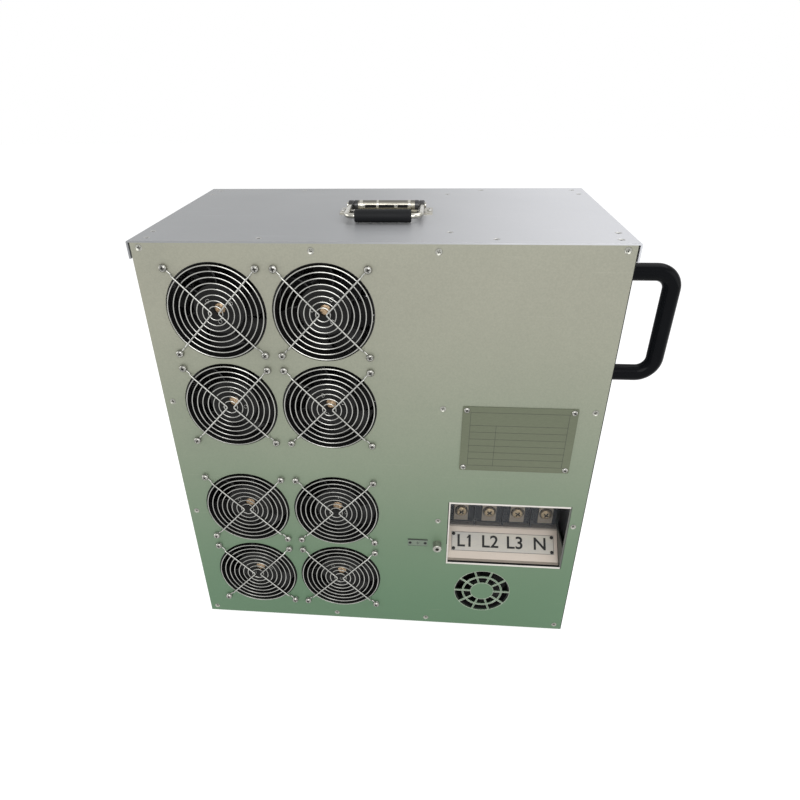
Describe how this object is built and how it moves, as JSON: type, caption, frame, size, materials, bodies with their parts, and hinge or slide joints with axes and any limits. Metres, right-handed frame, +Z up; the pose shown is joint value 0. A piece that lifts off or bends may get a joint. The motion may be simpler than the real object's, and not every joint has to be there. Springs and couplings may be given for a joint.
{
  "type": "generator load bank",
  "caption": "Portable generator load bank: sheet case with guarded cooling fans, recessed terminal bay, earth stud, sprung bail on top and a tube handle at the side.",
  "frame": {"origin": "middle of the whole part's bounding box at its underside", "axes": "+X to the side with the tube handle, +Y from the fan panel to the rear, +Z up"},
  "size_m": [0.6284, 0.317, 0.6077],
  "materials": {
    "bare_sheet": "satin",
    "cover_sheet": "satin",
    "inner_sheet": "satin",
    "bright_sheet": "satin",
    "zinc": "satin",
    "chrome": "gloss",
    "fan_black": "satin",
    "rotor_black": "matte",
    "block_black": "matte",
    "clear_cover": "clear",
    "plated_copper": "satin",
    "brass": "satin",
    "label_metal": "satin",
    "plate_metal": "satin",
    "dark_fixings": "satin",
    "handle_black": "gloss",
    "rubber": "matte",
    "spring_steel": "satin",
    "element_steel": "matte",
    "board_green": "satin"
  },
  "bodies": {
    "case": {"bail_base": "chrome", "bail_pin": "chrome", "bail_spring": "spring_steel", "base_tray": "inner_sheet", "bay_liner": "bright_sheet", "cable_ramp": "bright_sheet", "case_screws": "zinc", "contactors": "block_black", "control_board": "board_green", "control_tray": "inner_sheet", "earth_label": "label_metal", "earth_terminal": "zinc", "fan_frame_1": "fan_black", "fan_frame_2": "fan_black", "fan_frame_3": "fan_black", "fan_frame_4": "fan_black", "fan_frame_5": "fan_black", "fan_frame_6": "fan_black", "fan_frame_7": "fan_black", "fan_frame_8": "fan_black", "fan_guard_1": "chrome", "fan_guard_2": "chrome", "fan_guard_3": "chrome", "fan_guard_4": "chrome", "fan_guard_5": "chrome", "fan_guard_6": "chrome", "fan_guard_7": "chrome", "fan_guard_8": "chrome", "fan_screws": "chrome", "feet": "rubber", "front_panel": "bare_sheet", "heater_elements": "element_steel", "left_side_panel": "cover_sheet", "nameplate": "plate_metal", "partition": "inner_sheet", "plate_fixings": "dark_fixings", "rack_ends": "inner_sheet", "rear_panel": "cover_sheet", "right_side_panel": "cover_sheet", "side_handle": "handle_black", "side_handle_bolts": "zinc", "terminal_block": "block_black", "terminal_label": "label_metal", "terminal_plates": "plated_copper", "terminal_screws": "brass", "top_cover": "cover_sheet", "top_rails": "inner_sheet", "vent_fan_frame": "fan_black"},
    "fan_1": {"fan_rotor_1": "rotor_black"},
    "fan_2": {"fan_rotor_2": "rotor_black"},
    "fan_3": {"fan_rotor_3": "rotor_black"},
    "fan_4": {"fan_rotor_4": "rotor_black"},
    "fan_5": {"fan_rotor_5": "rotor_black"},
    "fan_6": {"fan_rotor_6": "rotor_black"},
    "fan_7": {"fan_rotor_7": "rotor_black"},
    "fan_8": {"fan_rotor_8": "rotor_black"},
    "vent_fan": {"vent_fan_rotor": "rotor_black"},
    "bail_handle": {"bail": "chrome", "bail_grip": "rubber"},
    "clear_cover": {"terminal_cover": "clear_cover"}
  },
  "joints": [
    {"name": "fan_1_spin", "type": "hinge", "parent": "case", "child": "fan_1", "pos_m": [-0.2242, -0.124, 0.51], "axis": [0, 1, 0], "continuous": true},
    {"name": "fan_2_spin", "type": "hinge", "parent": "case", "child": "fan_2", "pos_m": [-0.0988, -0.124, 0.51], "axis": [0, 1, 0], "continuous": true},
    {"name": "fan_3_spin", "type": "hinge", "parent": "case", "child": "fan_3", "pos_m": [-0.2242, -0.124, 0.3852], "axis": [0, 1, 0], "continuous": true},
    {"name": "fan_4_spin", "type": "hinge", "parent": "case", "child": "fan_4", "pos_m": [-0.0988, -0.124, 0.3852], "axis": [0, 1, 0], "continuous": true},
    {"name": "fan_5_spin", "type": "hinge", "parent": "case", "child": "fan_5", "pos_m": [-0.2242, -0.124, 0.2201], "axis": [0, 1, 0], "continuous": true},
    {"name": "fan_6_spin", "type": "hinge", "parent": "case", "child": "fan_6", "pos_m": [-0.0988, -0.124, 0.2201], "axis": [0, 1, 0], "continuous": true},
    {"name": "fan_7_spin", "type": "hinge", "parent": "case", "child": "fan_7", "pos_m": [-0.2242, -0.124, 0.0953], "axis": [0, 1, 0], "continuous": true},
    {"name": "fan_8_spin", "type": "hinge", "parent": "case", "child": "fan_8", "pos_m": [-0.0988, -0.124, 0.0953], "axis": [0, 1, 0], "continuous": true},
    {"name": "vent_fan_spin", "type": "hinge", "parent": "case", "child": "vent_fan", "pos_m": [0.1108, -0.131, 0.0804], "axis": [0, 1, 0], "continuous": true},
    {"name": "bail_swing", "type": "hinge", "parent": "case", "child": "bail_handle", "pos_m": [-0.0362, 0.001, 0.6002], "axis": [-1, 0, 0], "range_deg": [0, 90]},
    {"name": "cover_lift_off", "type": "slide", "parent": "case", "child": "clear_cover", "axis": [0, -1, 0], "range_m": [0, 0.06]}
  ]
}
